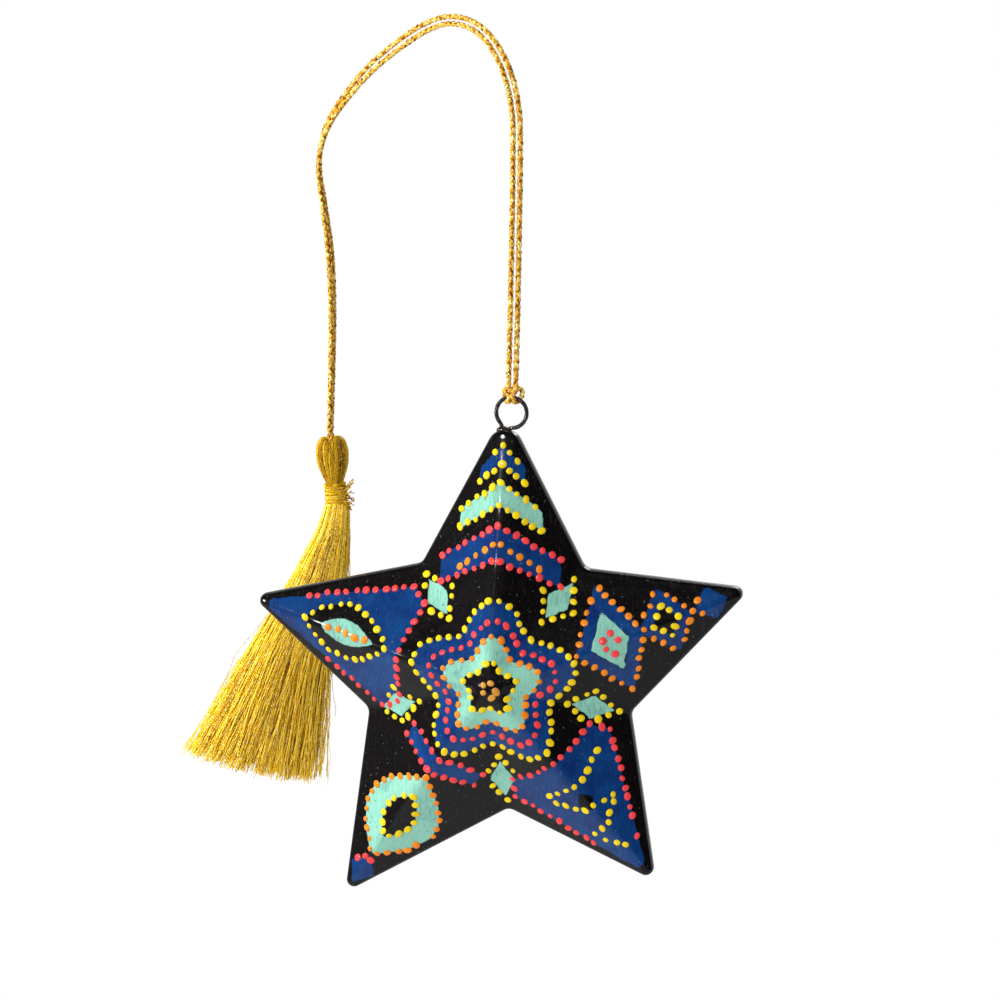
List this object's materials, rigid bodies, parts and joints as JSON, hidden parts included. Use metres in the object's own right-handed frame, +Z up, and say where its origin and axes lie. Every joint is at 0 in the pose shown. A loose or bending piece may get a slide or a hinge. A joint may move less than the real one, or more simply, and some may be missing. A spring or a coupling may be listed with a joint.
{
  "type": "hanging star ornament",
  "caption": "Ridged papier-mache star with a raised painted pattern, on a looped metallic cord that ends in a thread tassel.",
  "frame": {"origin": "the crown of the cord's loop, where it is held when the ornament hangs", "axes": "+Z up as it hangs, -Y the way the star's front faces, +X to the right seen from the front"},
  "size_m": [0.1004, 0.0465, 0.1435],
  "materials": {
    "lacquered_paper": "gloss lacquer over painted papier-mache",
    "paper_strip": "gloss lacquer over paper",
    "dark_wire": "dark, lacquered",
    "lacquer_drop": "hardened gloss lacquer",
    "metallic_cord": "metallic gold braid",
    "metallic_thread": "metallic gold thread"
  },
  "bodies": {
    "cord": {"left_strand": "metallic_cord", "right_strand": "metallic_cord"},
    "hitch": {"hitch_knot": "metallic_cord"},
    "star": {"front_shell": "lacquered_paper", "back_shell": "lacquered_paper", "seam_strip": "paper_strip", "wire_eye": "dark_wire", "eye_bead": "lacquer_drop"},
    "tassel_head": {"cord_end_knot": "metallic_cord", "tassel_head": "metallic_thread", "neck_binding": "metallic_thread", "tie_tuft": "metallic_thread"},
    "tassel_skirt": {"tassel_skirt": "metallic_thread"}
  },
  "joints": [
    {"name": "star_sway", "type": "hinge", "parent": "cord", "child": "hitch", "pos_m": [0.0141, -0.0105, -0.0564], "axis": [0, 1, 0], "range_deg": [-45, 45]},
    {"name": "star_tilt", "type": "hinge", "parent": "hitch", "child": "star", "pos_m": [0.0141, -0.0105, -0.05978], "axis": [-1, 0, 0], "range_deg": [-5, 90]},
    {"name": "tassel_swing", "type": "hinge", "parent": "cord", "child": "tassel_head", "pos_m": [-0.0233, 0.0175, -0.071], "axis": [0, 1, 0], "range_deg": [-40, 40]},
    {"name": "skirt_swing", "type": "hinge", "parent": "tassel_head", "child": "tassel_skirt", "pos_m": [-0.02176, 0.0175, -0.08567], "axis": [1, 0, 0], "range_deg": [-5, 45]}
  ]
}
